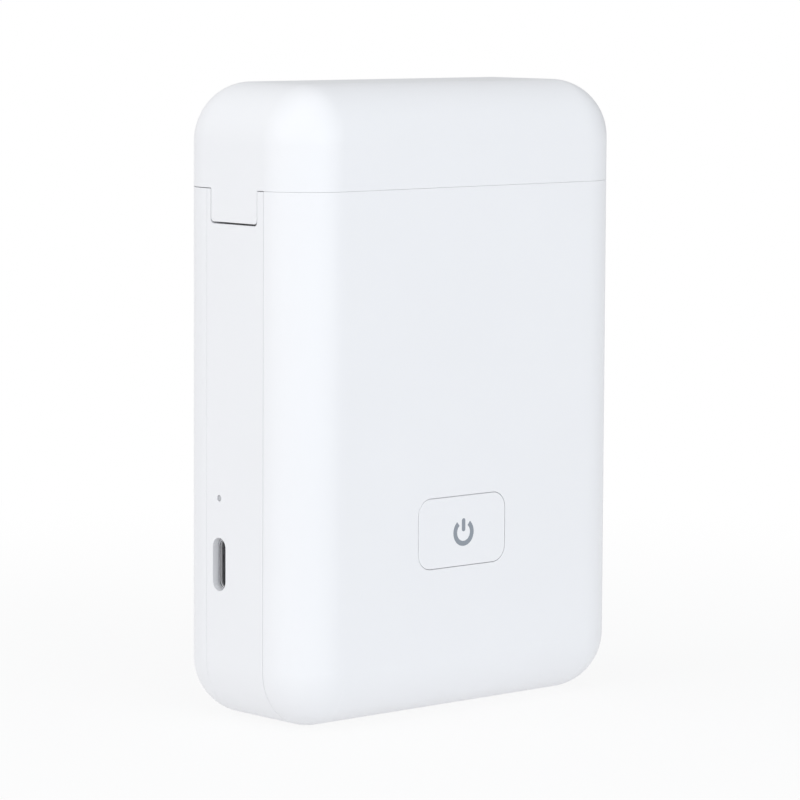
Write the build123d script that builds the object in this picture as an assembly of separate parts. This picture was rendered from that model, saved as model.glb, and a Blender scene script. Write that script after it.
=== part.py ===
from build123d import *
import math
import os

# A pocket label printer that stands upright. Millimetres, +Z up, the button faces -Y, the label outlet is on
# the -X side. The origin is on the ground under the middle of the case.

# Outer form of the case
width = 79.0
depth = 34.0
height = 112.0
face_corner_r = 10.5
front_edge_r = 10.0
rear_edge_r = 8.5
wall = 2.0
half_w = width / 2
half_d = depth / 2
inside_x = half_w - wall
inside_front_y = -half_d + wall
inside_rear_y = half_d - wall

# Label tape, which lies 14.45 in front of the rear wall
tape_width = 12.0
tape_thickness = 0.15
tape_from_rear = 14.45
tape_y = inside_rear_y - tape_from_rear
tape_y_range = (tape_y - tape_width / 2, tape_y + tape_width / 2)

# Seams between the four case parts
lid_height = 18.3
lid_seam_z = height - lid_height
lid_gap = 0.08
side_top_drop = 0.08
lid_low_z = lid_seam_z + lid_gap / 2
body_top_z = lid_seam_z - lid_gap / 2
side_top_z = body_top_z - side_top_drop
front_seam_y = tape_y - 7.95
rear_seam_y = tape_y + 7.35
seam_gap = 0.06
lip_thickness = 1.0
lip_length = 1.2
lip_clearance = 0.1
lip_top_z = lid_seam_z - 2.4

# Outlet in the left wall, closed from above by a tongue of the lid
tape_low_z = lid_seam_z - 5.95
tape_top_z = tape_low_z + tape_thickness
outlet_low_z = tape_low_z - 0.25
outlet_height = 0.6
tongue_low_z = outlet_low_z + outlet_height
tongue_width = 12.4
tongue_corner_r = 0.8
tongue_side_gap = 0.1
tongue_root = 2.0

# Tear bar below the outlet
tear_bar_height = 3.0
tear_bar_thickness = 0.4
tear_tooth = 0.35
tear_teeth = 16
tear_bar_end_gap = 0.5

# Hinge of the lid, inside the right wall
hinge_arm_half = 1.6
hinge_x = half_w - hinge_arm_half
hinge_z = lid_seam_z - 7.7
hinge_pin_r = 0.8
hinge_arm_y = (front_seam_y + 3.4, rear_seam_y - 2.8)
hinge_side_gap = 0.2
hinge_swing_gap = 1.1
hinge_boss_thickness = 2.4
hinge_boss_foot = 1.5
hinge_relief = 0.6
arm_top_z = lid_seam_z + 6.3
pin_hold_clearance = 0.02
running_clearance = 0.05

# Deck and well of the inner frame
deck_low_z = lid_seam_z - 2.1
deck_thickness = 1.6
deck_top_z = deck_low_z + deck_thickness
frame_clearance = 0.25
rim_height = 1.4
rim_thickness = 1.0
well_half_width = 7.25
well_wall = 1.2
web_thickness = 1.5
well_y = (tape_y - well_half_width, tape_y + well_half_width)
well_outer_y = (well_y[0] - well_wall, well_y[1] + well_wall)
deck_opening_gap = 0.3

# Ribs of the front and rear shells under the deck
deck_rib_x = half_w - 19.5
deck_rib_thickness = 1.5
deck_rib_z = (deck_low_z - 11.6, deck_low_z)
front_rib_depth = 3.0
rear_rib_depth = 1.6

# Platen roller in the lid
platen_x = -half_w + 9.5
platen_r = 4.0
platen_tape_gap = 0.15
platen_z = tape_top_z + platen_tape_gap + platen_r
platen_shaft_r = 1.0
platen_swing_gap = 0.5
shaft_slot_gap = 0.5
shaft_slot_swing = 0.2
cheek_thickness = 0.8
cheek_gap = 0.25
cheek_half_width = 2.7
bush_r = 1.75
cheek_y = (
    (tape_y_range[0] - cheek_gap - cheek_thickness, tape_y_range[0] - cheek_gap),
    (tape_y_range[1] + cheek_gap, tape_y_range[1] + cheek_gap + cheek_thickness),
)

# Print head under the platen
head_tape_gap = 0.15
head_x = (platen_x - 5.4, platen_x + 5.0)
head_margin = 0.3
head_plate_lip = 0.1
substrate_thickness = 0.8
head_plate_thickness = 0.8
head_top_z = tape_low_z - head_tape_gap
head_plate_top_z = head_top_z - substrate_thickness
head_plate_low_z = head_plate_top_z - head_plate_thickness
head_pivot_r = 0.5
head_knuckle_r = 0.95
head_knuckle_drop = 0.4
head_pivot_x = platen_x + 9.5
head_pivot_z = head_plate_top_z - head_knuckle_drop
channel_floor_z = tape_low_z - 0.85
channel_floor_thickness = 1.2
channel_left_x = -half_w + 3.9
channel_floor_left_x = head_pivot_x + 2.0
channel_wall_low_z = tape_low_z - 3.15
shelf_top_z = tape_low_z - 6.75
shelf_thickness = 1.2
shelf_x = (platen_x - 4.0, platen_x + 4.5)
spring_x = (shelf_x[0] + shelf_x[1]) / 2
spring_r = 1.7
spring_wire_r = 0.2
spring_turns = 5
spring_post_r = 1.2
spring_post_height = 1.5

# Gap sensor in the floor of the channel
sensor_x = (head_pivot_x + 5.0, head_pivot_x + 8.5)
sensor_width = 3.4
sensor_height = 0.55
sensor_eye_r = 0.5
sensor_eye_depth = 0.2
sensor_eye_inset = 0.9

# Gear train behind the well
module = 0.5
pressure_angle = math.radians(25.0)
addendum = 0.8
dedendum = 1.1
tooth_thinning = 0.06
platen_teeth = 20
idler_teeth = 20
small_teeth = 12
large_teeth = 36
pinion_teeth = 12
idler_drop = module * (platen_teeth + idler_teeth) / 2
idler_x = platen_x
idler_z = platen_z - idler_drop
reduction_direction = math.radians(-53.13)
reduction_distance = module * (idler_teeth + small_teeth) / 2
reduction_x = idler_x + reduction_distance * math.cos(reduction_direction)
reduction_z = idler_z + reduction_distance * math.sin(reduction_direction)
motor_x = reduction_x
motor_z = reduction_z - module * (large_teeth + pinion_teeth) / 2
bracket_thickness = 0.6
bracket_y = (well_outer_y[1] - bracket_thickness, well_outer_y[1])
web_y = (bracket_y[0] - web_thickness, bracket_y[0])
inner_gear_y = (bracket_y[1] + 0.8, bracket_y[1] + 2.6)
outer_gear_y = (inner_gear_y[1] + 0.2, inner_gear_y[1] + 1.6)
gear_hub_gap = 0.1
gear_hub_r = 1.5
gear_pin_r = 0.75
gear_pin_cap = 0.5
press_clearance = 0.01
gear_swing_gap = 1.0
gear_side_gap = 0.4
platen_gear_reach = module * platen_teeth / 2 + gear_swing_gap
bracket_x = (platen_x - 5.0, platen_x + 17.0)
bracket_z = (motor_z - 6.65, idler_z + 2.15)
bracket_corner_r = 1.5
bracket_screw_x = platen_x + 14.5
bracket_screw_z = (bracket_z[0] + 2.5, bracket_z[1] - 3.7)
web_x_margin = 0.5
web_z = (bracket_z[0] - 4.0, bracket_z[1] - 1.6)

# Motor
motor_r = 7.5
motor_length = 10.0
motor_edge_r = 0.6
motor_boss_r = 1.8
motor_hole_clearance = 0.2
motor_shaft_r = 0.75
motor_shaft_inset = 1.6
motor_plug_reach = 1.6
motor_plug_length = 4.0
motor_plug_height = 6.0

# Label roll and its bay, beside the gear bracket
roll_r = 15.6
core_r = 6.0
core_wall = 1.0
bay_clearance = 1.4
bay_r = roll_r + bay_clearance
bay_side = bay_r + well_wall
roll_x = bracket_x[1] + 2.8 + bay_side
roll_z = deck_low_z - 19.6
axle_r = 1.5
axle_clearance = 0.08
axle_end_clearance = 0.15
spindle_flange_r = 5.8
spindle_flange = 0.5
winding_clearance = 0.03
strip_end_gap = 1.0

# Screws that hold the case: x, z, and where the front and rear bosses meet
case_screw_inset = 11.0
case_screw_low_z = 11.5
boss_meet_y = 2.0
case_boss_gap = 0.05
ear_thickness = 1.6
lug_half = 2.5
ear_half = 2.0
case_screws_at = (
    (-half_w + case_screw_inset, case_screw_low_z, boss_meet_y, boss_meet_y + case_boss_gap),
    (half_w - case_screw_inset, case_screw_low_z, boss_meet_y, boss_meet_y + case_boss_gap),
    (-half_w + case_screw_inset, web_z[0] - 3.0, web_y[0], web_y[1]),
    (half_w - case_screw_inset, roll_z - 18.0, boss_meet_y, boss_meet_y + ear_thickness),
)
case_boss_r = 2.8
case_screw_r = 1.0
case_screw_head_r = 2.2
case_screw_head = 1.4
case_screw_seat = 3.0
case_screw_reach = 5.0
pilot_depth = 2.0
screw_clearance = 0.15

# Small screws inside
small_screw_r = 0.8
small_head_r = 1.5
small_head = 0.8
small_reach = 3.2
small_tip_gap = 0.4
pilot_clearance = 0.03

# Main board, below the roll
board_margin = 12.0
board_width = width - 2 * board_margin
board_low_z = 15.5
board_high_z = roll_z - bay_side - 7.8
board_thickness = 1.6
board_corner_r = 2.0
board_screw_inset = 3.5
board_screw_x = board_width / 2 - board_screw_inset
board_boss_r = 2.2

# Power button in the front shell
button_x = -1.5
button_z = (board_low_z + board_high_z) / 2 + 2.0
button_width = 20.8
button_height = 12.5
button_corner_r = 2.9
button_gap = 0.1
button_edge_r = 0.15
button_back_clearance = 0.2
button_flange = 1.0
button_flange_thickness = 1.0
button_back_y = inside_front_y + button_back_clearance
button_flange_back_y = button_back_y + button_flange_thickness
board_front_y = button_flange_back_y + 2.4
board_back_y = board_front_y + board_thickness

# Tact switch behind the button
tact_side = 6.0
tact_height = 1.7
tact_corner_r = 0.5
tact_plunger_r = 1.65
tact_plunger_length = 1.5
tact_well_depth = 1.4

# Chips: width, rise and height of each, and its place as shares of the free board width and height
chips = (
    (7.0, 0.9, 7.0, 0.281, 0.617),
    (13.0, 2.2, 10.0, 0.75, 0.561),
    (4.5, 1.1, 5.0, 0.465, 0.961),
    (5.0, 3.2, 7.0, 0.17, 0.106),
    (4.0, 1.6, 4.0, 0.363, 0.094),
    (6.0, 3.6, 4.0, 0.724, 0.038),
)

# USB-C socket and the light above it, on the left wall, with their board
usb_board_thickness = 1.2
usb_board_x = (-half_w + 4.0, -half_w + 18.0)
usb_board_z = (case_screw_low_z + 5.5, case_screws_at[2][1] - 4.0)
usb_board_rise = usb_board_z[1] - usb_board_z[0]
usb_post_x = -half_w + 14.5
usb_post_z = (usb_board_z[0] + 3.5, usb_board_z[1] - 3.5)
usb_post_r = 2.2
port_y = rear_seam_y - 3.45
port_z = usb_board_z[0] + 0.376 * usb_board_rise
port_height = 9.3
port_thickness = 3.4
port_end_share = 0.49
port_shell_clearance = 0.1
port_shell_wall = 0.3
port_recess = 1.15
port_depth = 6.8
port_tongue_height = 6.7
port_tongue_thickness = 0.7
port_tongue_recess = 0.6
port_tongue_corner_r = 0.2
usb_face_y = port_y + port_thickness / 2 - port_shell_clearance
light_z = usb_board_z[0] + 0.779 * usb_board_rise
light_hole_r = 0.5
light_pipe_clearance = 0.02
light_pipe_recess = 0.15
light_pipe_length = 5.0
led_size = (2.0, 2.0)

# Battery on the rear shell, between the USB board and the right wall
battery_thickness = 12.0
battery_x = (usb_board_x[1] + 6.5, inside_x - 6.5)
battery_z = (case_screw_low_z + 4.5, roll_z - bay_side - 4.3)
battery_corner_r = 3.0
battery_rib = 1.0
battery_rib_height = 3.5
battery_clearance = 0.2

# Lid frame
lid_frame_low_z = lid_seam_z + 1.5
lid_frame_thickness = 1.2
lid_frame_top_z = lid_frame_low_z + lid_frame_thickness
lid_opening_gap = 0.2
lid_boss_r = 2.3
lid_screws_at = (
    (half_w - 17.5, -half_d + 7.5),
    (half_w - 17.5, half_d - 7.0),
    (platen_x + 12.0, half_d - 7.0),
)
catch_x = (platen_x + 0.2, platen_x + 5.8)
catch_y = (inside_front_y + 2.1, inside_front_y + 3.5)
catch_low_z = deck_low_z - 2.0
catch_slot_gap = 0.3
catch_slot_swing = 0.7

# Overlap that makes a joined piece one solid with its carrier, and the overrun of a cutter
sink = 0.5
overrun = 1.0


def across(sketch, y_low, y_high):
    """A profile drawn in x and z, made solid between two depths."""
    plane = Plane((0, y_high, 0), x_dir=(1, 0, 0), z_dir=(0, -1, 0))
    return extrude(plane * sketch, amount=y_high - y_low)


def sideways(sketch, x_low, x_high):
    """A profile drawn in y and z, made solid between two x values."""
    plane = Plane((x_low, 0, 0), x_dir=(0, 1, 0), z_dir=(1, 0, 0))
    return extrude(plane * sketch, amount=x_high - x_low)


def block(x_range, y_range, z_range):
    """A box between pairs of corner values."""
    size = [high - low for low, high in (x_range, y_range, z_range)]
    middle = [(low + high) / 2 for low, high in (x_range, y_range, z_range)]
    return Pos(*middle) * Box(*size)


def flat(x_range, z_range):
    """A rectangle in the x and z profile plane."""
    middle = Pos(sum(x_range) / 2, sum(z_range) / 2)
    return middle * Rectangle(x_range[1] - x_range[0], z_range[1] - z_range[0])


def grown(x_range, z_range, margin):
    """A rectangle in x and z, larger by a margin on every side."""
    return flat((x_range[0] - margin, x_range[1] + margin), (z_range[0] - margin, z_range[1] + margin))


def rod(x, z, radius, y_low, y_high):
    """A round bar along the depth of the case."""
    return across(Pos(x, z) * Circle(radius), y_low, y_high)


def upright(x, y, radius, z_low, z_high):
    """A round bar that stands up."""
    return Pos(x, y, (z_low + z_high) / 2) * Cylinder(radius, z_high - z_low)


def level(z_low, z_high):
    """All of the space between two heights."""
    return block((-width, width), (-depth, depth), (z_low, z_high))


def between(y_low, y_high, z_high=height + 1):
    """All of the space between two depths, up to a height."""
    return block((-width, width), (y_low, y_high), (-1, z_high))


def case_block(inset):
    """The outer form of the whole case, drawn in by an inset on every side."""
    outline = RectangleRounded(width - 2 * inset, height - 2 * inset, face_corner_r - inset)
    body = across(Pos(0, height / 2) * outline, -half_d + inset, half_d - inset)
    body = fillet(body.faces().sort_by(Axis.Y)[0].edges(), front_edge_r - inset)
    return fillet(body.faces().sort_by(Axis.Y)[-1].edges(), rear_edge_r - inset)


def case_ring(inset, thickness):
    """A skin that follows the case, from an inset to that inset plus a thickness."""
    return case_block(inset) - case_block(inset + thickness)


case_skin = case_ring(0, wall)


def hinge_side_relief():
    """The wedge taken off the top outer edge of the right wall, so that the lid can swing past it."""
    wedge = Polyline(
        (half_w - hinge_relief, body_top_z),
        (half_w + overrun, body_top_z + overrun + hinge_relief),
        (half_w + overrun, body_top_z - overrun - hinge_relief),
        (half_w, body_top_z - hinge_relief),
        close=True,
    )
    return across(make_face(wedge), -depth, depth)


def cross_recess(x, z, radius, y_low, y_high):
    """The cross-shaped socket in the head of a screw that lies along y."""
    arm = radius * 0.36
    span = radius * 1.2
    cross = Pos(x, z) * Rectangle(span, arm) + Pos(x, z) * Rectangle(arm, span)
    return across(cross, y_low, y_high)


def screw_along_y(x, z, seat_y, direction, radius, head_r, head, reach):
    """A screw whose head rests on seat_y and whose shank runs along direction, +1 or -1."""
    tip_y = seat_y + direction * reach
    head_y = seat_y - direction * head
    shank = rod(x, z, radius, min(seat_y, tip_y), max(seat_y, tip_y))
    cap = rod(x, z, head_r, min(seat_y, head_y), max(seat_y, head_y))
    recess_y = sorted((head_y, head_y + direction * head / 2))
    return shank + cap - cross_recess(x, z, head_r, recess_y[0], recess_y[1])


def gear_outline(teeth, turn):
    """The points of an involute gear about its own centre, with one tooth centred at the angle turn."""
    pitch_r = module * teeth / 2
    base_r = pitch_r * math.cos(pressure_angle)
    tip_r = pitch_r + addendum * module
    root_r = pitch_r - dedendum * module
    start_r = max(base_r, root_r)
    involute = math.tan(pressure_angle) - pressure_angle
    half_tooth = (math.pi * module / 2 - tooth_thinning) / (2 * pitch_r) + involute

    def flank_angle(radius):
        slope = math.acos(min(1.0, base_r / radius))
        return half_tooth - (math.tan(slope) - slope)

    radii = [start_r + (tip_r - start_r) * k / 3 for k in range(4)]
    rising = [(r, -flank_angle(r)) for r in radii]
    if root_r < base_r:
        rising.insert(0, (root_r, -flank_angle(base_r)))
    profile = rising + [(r, -a) for r, a in reversed(rising)]
    points = []
    for tooth in range(teeth):
        centre = turn + 2 * math.pi * tooth / teeth
        points += [(r * math.cos(centre + a), r * math.sin(centre + a)) for r, a in profile]
    return points


def gear_blank(teeth, turn, x, z, y_range):
    """A solid gear without its bore."""
    outline = make_face(Polyline(*gear_outline(teeth, turn), close=True))
    return across(Pos(x, z) * outline, y_range[0], y_range[1])


def meshed_turn(teeth_a, turn_a, teeth_b, direction):
    """The tooth angle of gear b that meshes with gear a, where b lies from a along direction."""
    pitch = 2 * math.pi / teeth_a
    offset = (turn_a - direction + pitch / 2) % pitch - pitch / 2
    space = direction + math.pi - offset * teeth_a / teeth_b
    return space + math.pi / teeth_b


platen_turn = math.radians(-90.0)
idler_turn = meshed_turn(platen_teeth, platen_turn, idler_teeth, math.radians(-90.0))
small_turn = meshed_turn(idler_teeth, idler_turn, small_teeth, reduction_direction)
large_turn = 0.0
pinion_turn = meshed_turn(large_teeth, large_turn, pinion_teeth, math.radians(-90.0))


def outlet_profile(side_gap, low_z):
    """The rounded tongue of the lid, or the notch for it, in y and z."""
    top_z = lid_low_z + tongue_root
    outline = RectangleRounded(tongue_width + 2 * side_gap, top_z - low_z, tongue_corner_r)
    return Pos(tape_y, (low_z + top_z) / 2) * outline


def port_profile(clearance):
    """The racetrack outline of the USB-C socket in y and z."""
    thickness = port_thickness - 2 * clearance
    outline = RectangleRounded(thickness, port_height - 2 * clearance, port_end_share * thickness)
    return Pos(port_y, port_z) * outline


def board_screws_at():
    """The places of the four screws of the main board, in x and z."""
    heights = (board_low_z + board_screw_inset, board_high_z - board_screw_inset)
    return [(x, z) for x in (-board_screw_x, board_screw_x) for z in heights]


def make_front_shell():
    shell = case_skin & between(-depth, front_seam_y - seam_gap / 2, body_top_z)
    hole = RectangleRounded(
        button_width + 2 * button_gap, button_height + 2 * button_gap, button_corner_r + button_gap
    )
    shell -= across(Pos(button_x, button_z) * hole, -depth, inside_front_y + overrun)
    skin_middle = case_block(wall / 2)
    for x, z, front_end, rear_start in case_screws_at:
        boss = rod(x, z, case_boss_r, -half_d, front_end) & skin_middle
        pilot_end = front_end - case_screw_reach - pilot_depth
        shell += boss - rod(x, z, case_screw_r + pilot_clearance, pilot_end, front_end + overrun)
    for x, z in board_screws_at():
        boss = rod(x, z, board_boss_r, -half_d, board_front_y) & skin_middle
        pilot_end = board_front_y - small_reach
        shell += boss - rod(x, z, small_screw_r + pilot_clearance, pilot_end, board_front_y + overrun)
    for x in (-deck_rib_x, deck_rib_x):
        rib_x = (x - deck_rib_thickness / 2, x + deck_rib_thickness / 2)
        shell += block(rib_x, (inside_front_y - sink, inside_front_y + front_rib_depth), deck_rib_z)
    return shell - hinge_side_relief()


def make_middle_frame():
    ring = case_skin & between(front_seam_y + seam_gap / 2, rear_seam_y - seam_gap / 2, side_top_z)
    lip = case_ring(wall + lip_clearance, lip_thickness)
    root = case_ring(wall / 2, wall / 2 + lip_clearance + lip_thickness)
    ring += lip & between(front_seam_y - lip_length, front_seam_y + lip_length, lip_top_z)
    ring += root & between(front_seam_y + seam_gap, front_seam_y + lip_length, lip_top_z)
    ring += lip & between(rear_seam_y - lip_length, rear_seam_y + lip_length, lip_top_z)
    ring += root & between(rear_seam_y - lip_length, rear_seam_y - seam_gap, lip_top_z)
    arm_low_z = hinge_z - hinge_arm_half
    notch_low_z = arm_low_z - hinge_swing_gap
    boss = flat((hinge_x - hinge_boss_thickness, inside_x + sink), (notch_low_z - hinge_boss_foot, lip_top_z))
    notch_y = (hinge_arm_y[0] - hinge_side_gap, hinge_arm_y[1] + hinge_side_gap)
    ring += across(boss, front_seam_y + seam_gap / 2, rear_seam_y - seam_gap / 2)
    notch_x = (hinge_x - hinge_boss_thickness - overrun, half_w + overrun)
    ring -= block(notch_x, notch_y, (notch_low_z, height))
    ring -= rod(hinge_x, hinge_z, hinge_pin_r + pin_hold_clearance, front_seam_y - sink, rear_seam_y + sink)
    left_x = (-half_w - overrun, -inside_x + lip_clearance + lip_thickness + overrun)
    ring -= sideways(outlet_profile(tongue_side_gap, outlet_low_z), *left_x)
    ring -= sideways(port_profile(0), *left_x)
    ring -= sideways(Pos(port_y, light_z) * Circle(light_hole_r), *left_x)
    return ring - hinge_side_relief()


def make_rear_shell():
    shell = case_skin & between(rear_seam_y + seam_gap / 2, depth, body_top_z)
    skin_middle = case_block(wall / 2)
    for x, z, front_end, rear_start in case_screws_at:
        shell += rod(x, z, case_boss_r, rear_start, half_d) & skin_middle
    for x, z, front_end, rear_start in case_screws_at:
        seat_y = rear_start + case_screw_seat
        shell -= rod(x, z, case_screw_r + screw_clearance, rear_start - overrun, depth)
        shell -= rod(x, z, case_screw_head_r + screw_clearance, seat_y, depth)
    tray = grown(battery_x, battery_z, battery_clearance + battery_rib)
    tray -= grown(battery_x, battery_z, battery_clearance)
    shell += across(tray, inside_rear_y - battery_rib_height, inside_rear_y + sink) & skin_middle
    post_start_y = usb_face_y + usb_board_thickness
    for z in usb_post_z:
        post = rod(usb_post_x, z, usb_post_r, post_start_y, inside_rear_y + sink)
        pilot_y = (post_start_y - overrun, post_start_y + small_reach)
        shell += post - rod(usb_post_x, z, small_screw_r + pilot_clearance, *pilot_y)
    for x in (-deck_rib_x, deck_rib_x):
        rib_x = (x - deck_rib_thickness / 2, x + deck_rib_thickness / 2)
        shell += block(rib_x, (inside_rear_y - rear_rib_depth, inside_rear_y + sink), deck_rib_z)
    return shell - hinge_side_relief()


def make_lid_shell():
    shell = case_skin & level(lid_low_z, height + overrun)
    shell += sideways(outlet_profile(0, tongue_low_z), -half_w, -inside_x)
    arm = Pos(hinge_x, hinge_z) * Circle(hinge_arm_half)
    arm += flat((hinge_x - hinge_arm_half, half_w), (hinge_z, arm_top_z))
    shell += across(arm, hinge_arm_y[0], hinge_arm_y[1])
    bore_y = (hinge_arm_y[0] - overrun, hinge_arm_y[1] + overrun)
    shell -= rod(hinge_x, hinge_z, hinge_pin_r + running_clearance, *bore_y)
    skin_middle = case_block(wall / 2)
    for x, y in lid_screws_at:
        boss = upright(x, y, lid_boss_r, lid_frame_top_z, height) & skin_middle
        pilot_z = (lid_frame_top_z - overrun, lid_frame_top_z + small_reach)
        shell += boss - upright(x, y, small_screw_r + pilot_clearance, *pilot_z)
    return shell


def deck_openings(low_z):
    """The cut-outs that the lid frame and the deck share: round the platen gear and the hinge arm."""
    gear = block(
        (platen_x - platen_gear_reach, platen_x + platen_gear_reach),
        (inner_gear_y[0] - gear_side_gap, inner_gear_y[1] + gear_side_gap),
        (low_z, height),
    )
    arm = block(
        (hinge_x - hinge_arm_half - deck_opening_gap, half_w),
        (hinge_arm_y[0] - deck_opening_gap, hinge_arm_y[1] + deck_opening_gap),
        (low_z, height),
    )
    return gear, arm


def make_lid_frame():
    frame = case_block(wall + frame_clearance) & level(lid_frame_low_z, lid_frame_top_z)
    frame -= block(
        (platen_x - platen_r - platen_swing_gap, platen_x + platen_r + platen_swing_gap),
        (tape_y_range[0] - lid_opening_gap, tape_y_range[1] + lid_opening_gap),
        (deck_low_z, height),
    )
    for opening in deck_openings(deck_low_z):
        frame -= opening
    cheek = Pos(platen_x, platen_z) * Circle(cheek_half_width)
    cheek_x = (platen_x - cheek_half_width, platen_x + cheek_half_width)
    cheek += flat(cheek_x, (platen_z, lid_frame_low_z + sink))
    cheek -= Pos(platen_x, platen_z) * Circle(bush_r + press_clearance)
    for y_low, y_high in cheek_y:
        frame += across(cheek, y_low, y_high)
    frame += block(catch_x, catch_y, (catch_low_z, lid_frame_low_z + sink))
    for x, y in lid_screws_at:
        hole_z = (lid_frame_low_z - overrun, lid_frame_top_z + overrun)
        frame -= upright(x, y, small_screw_r + screw_clearance, *hole_z)
    return frame


def make_inner_frame():
    inside = case_block(wall + frame_clearance)
    deck_z = (deck_low_z, deck_low_z + sink)
    across_y = (well_outer_y[0] - overrun, well_outer_y[1] + overrun)

    # Deck with its rim
    frame = inside & level(deck_low_z, deck_top_z)
    rim = inside - case_block(wall + frame_clearance + rim_thickness)
    frame += rim & level(deck_low_z, deck_top_z + rim_height)

    # Well round the roll and the channel to the outlet
    outer = Pos(roll_x, roll_z) * Circle(bay_side)
    outer += flat((roll_x - bay_side, roll_x + bay_side), (roll_z, deck_z[1]))
    outer += flat((channel_left_x, roll_x), (channel_wall_low_z, deck_z[1]))
    frame += across(outer, *well_outer_y)

    # Web for the gear bracket, its leg, and the ear on the right
    frame += across(flat((bracket_x[0] - web_x_margin, roll_x - bay_r), web_z), *web_y)
    lug_x, lug_z, lug_front, lug_rear = case_screws_at[2]
    leg = flat((lug_x - lug_half, lug_x + lug_half), (lug_z, web_z[0] + sink))
    leg += Pos(lug_x, lug_z) * Circle(case_boss_r)
    frame += across(leg, lug_front, lug_rear)
    ear_x, ear_z, ear_front, ear_rear = case_screws_at[3]
    ear = flat((roll_x, ear_x), (ear_z - ear_half, ear_z + ear_half))
    ear += Pos(ear_x, ear_z) * Circle(case_boss_r)
    frame += across(ear, ear_front, ear_rear)

    # Shelf under the print head, with the post of its spring
    shelf_low_z = shelf_top_z - shelf_thickness
    frame += block(shelf_x, (well_outer_y[0], web_y[1]), (shelf_low_z, shelf_top_z))
    frame += block(shelf_x, (well_outer_y[0], well_y[0]), (shelf_low_z, channel_wall_low_z + sink))
    frame += upright(spring_x, tape_y, spring_post_r, shelf_top_z, shelf_top_z + spring_post_height)

    # Room inside the well and the channel
    inner = Pos(roll_x, roll_z) * Circle(bay_r)
    inner += flat((roll_x - bay_r, roll_x + bay_r), (roll_z, height))
    inner += flat((-half_w, roll_x), (channel_floor_z, height))
    inner += flat((-half_w, channel_floor_left_x), (channel_wall_low_z - sink, height))
    frame -= across(inner, *well_y)
    under_floor_z = (web_z[1] + sink, channel_floor_z - channel_floor_thickness)
    under_floor = flat((channel_floor_left_x, roll_x - bay_side), under_floor_z)
    frame -= across(under_floor, *across_y)

    # Slots for the axle of the roll and the shaft of the platen
    slot_half = axle_r + axle_clearance
    slot = Pos(roll_x, roll_z) * Circle(slot_half)
    slot += flat((roll_x - slot_half, roll_x + slot_half), (roll_z, height))
    frame -= across(slot, *across_y)
    slot_half = platen_shaft_r + shaft_slot_gap
    shaft_slot = Pos(platen_x, platen_z) * Circle(slot_half)
    shaft_slot += flat((platen_x - slot_half, platen_x + slot_half + shaft_slot_swing), (platen_z, height))
    frame -= across(shaft_slot, tape_y, across_y[1])
    frame -= rod(head_pivot_x, head_pivot_z, head_pivot_r + pin_hold_clearance, *across_y)

    # Openings in the deck for the platen gear, the hinge arm and the catch
    frame -= block(
        (platen_x - platen_gear_reach, platen_x + platen_gear_reach),
        (well_outer_y[1], inner_gear_y[1] + gear_side_gap),
        (deck_low_z - overrun, height),
    )
    frame -= deck_openings(deck_low_z - overrun)[1]
    frame -= block(
        (catch_x[0] - catch_slot_gap, catch_x[1] + catch_slot_swing),
        (catch_y[0] - catch_slot_gap, catch_y[1] + catch_slot_gap),
        (deck_low_z - overrun, height),
    )

    # Holes for the motor and the screws
    web_hole_y = (web_y[0] - overrun, web_y[1] + overrun)
    frame -= rod(motor_x, motor_z, motor_r + motor_hole_clearance, *web_hole_y)
    for x, z in ((lug_x, lug_z), (ear_x, ear_z)):
        frame -= rod(x, z, case_screw_r + screw_clearance, -half_d, half_d)
    for z in bracket_screw_z:
        frame -= rod(bracket_screw_x, z, small_screw_r + pilot_clearance, *web_hole_y)
    return frame


def make_gear_bracket():
    plate = across(flat(bracket_x, bracket_z), bracket_y[0], bracket_y[1])
    plate = fillet(plate.edges().filter_by(Axis.Y), bracket_corner_r)
    holes = [
        (idler_x, idler_z, gear_pin_r + press_clearance),
        (reduction_x, reduction_z, gear_pin_r + press_clearance),
        (motor_x, motor_z, motor_boss_r + press_clearance),
    ]
    holes += [(bracket_screw_x, z, small_screw_r + screw_clearance) for z in bracket_screw_z]
    for x, z, radius in holes:
        plate -= rod(x, z, radius, bracket_y[0] - overrun, bracket_y[1] + overrun)
    return plate


def make_motor_body():
    front_y = bracket_y[0] - motor_length
    can = rod(motor_x, motor_z, motor_r, front_y, bracket_y[0])
    can = fillet(can.edges().sort_by(Axis.Y)[0], motor_edge_r)
    can += rod(motor_x, motor_z, motor_boss_r, bracket_y[0] - sink, bracket_y[1])
    plug_y = front_y + (motor_length - motor_plug_length) / 2
    can += block(
        (motor_x + motor_r / 2, motor_x + motor_r + motor_plug_reach),
        (plug_y, plug_y + motor_plug_length),
        (motor_z - motor_plug_height / 2, motor_z + motor_plug_height / 2),
    )
    bore_y = front_y + motor_shaft_inset - gear_hub_gap
    return can - rod(motor_x, motor_z, motor_shaft_r + running_clearance, bore_y, depth)


def make_motor_shaft():
    shaft_y = (bracket_y[0] - motor_length + motor_shaft_inset, outer_gear_y[1] + gear_hub_gap)
    return rod(motor_x, motor_z, motor_shaft_r, *shaft_y)


def make_motor_pinion():
    gear = gear_blank(pinion_teeth, pinion_turn, motor_x, motor_z, outer_gear_y)
    return gear - rod(motor_x, motor_z, motor_shaft_r + press_clearance, 0, depth)


def gear_hub(x, z):
    """The short spacer between a gear and the bracket."""
    return rod(x, z, gear_hub_r, bracket_y[1] + gear_hub_gap, inner_gear_y[0] + gear_hub_gap)


def make_reduction_gear():
    gear = gear_blank(large_teeth, large_turn, reduction_x, reduction_z, outer_gear_y)
    gear += gear_blank(small_teeth, small_turn, reduction_x, reduction_z, (inner_gear_y[0], outer_gear_y[0]))
    gear += gear_hub(reduction_x, reduction_z)
    return gear - rod(reduction_x, reduction_z, gear_pin_r + running_clearance, 0, depth)


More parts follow.
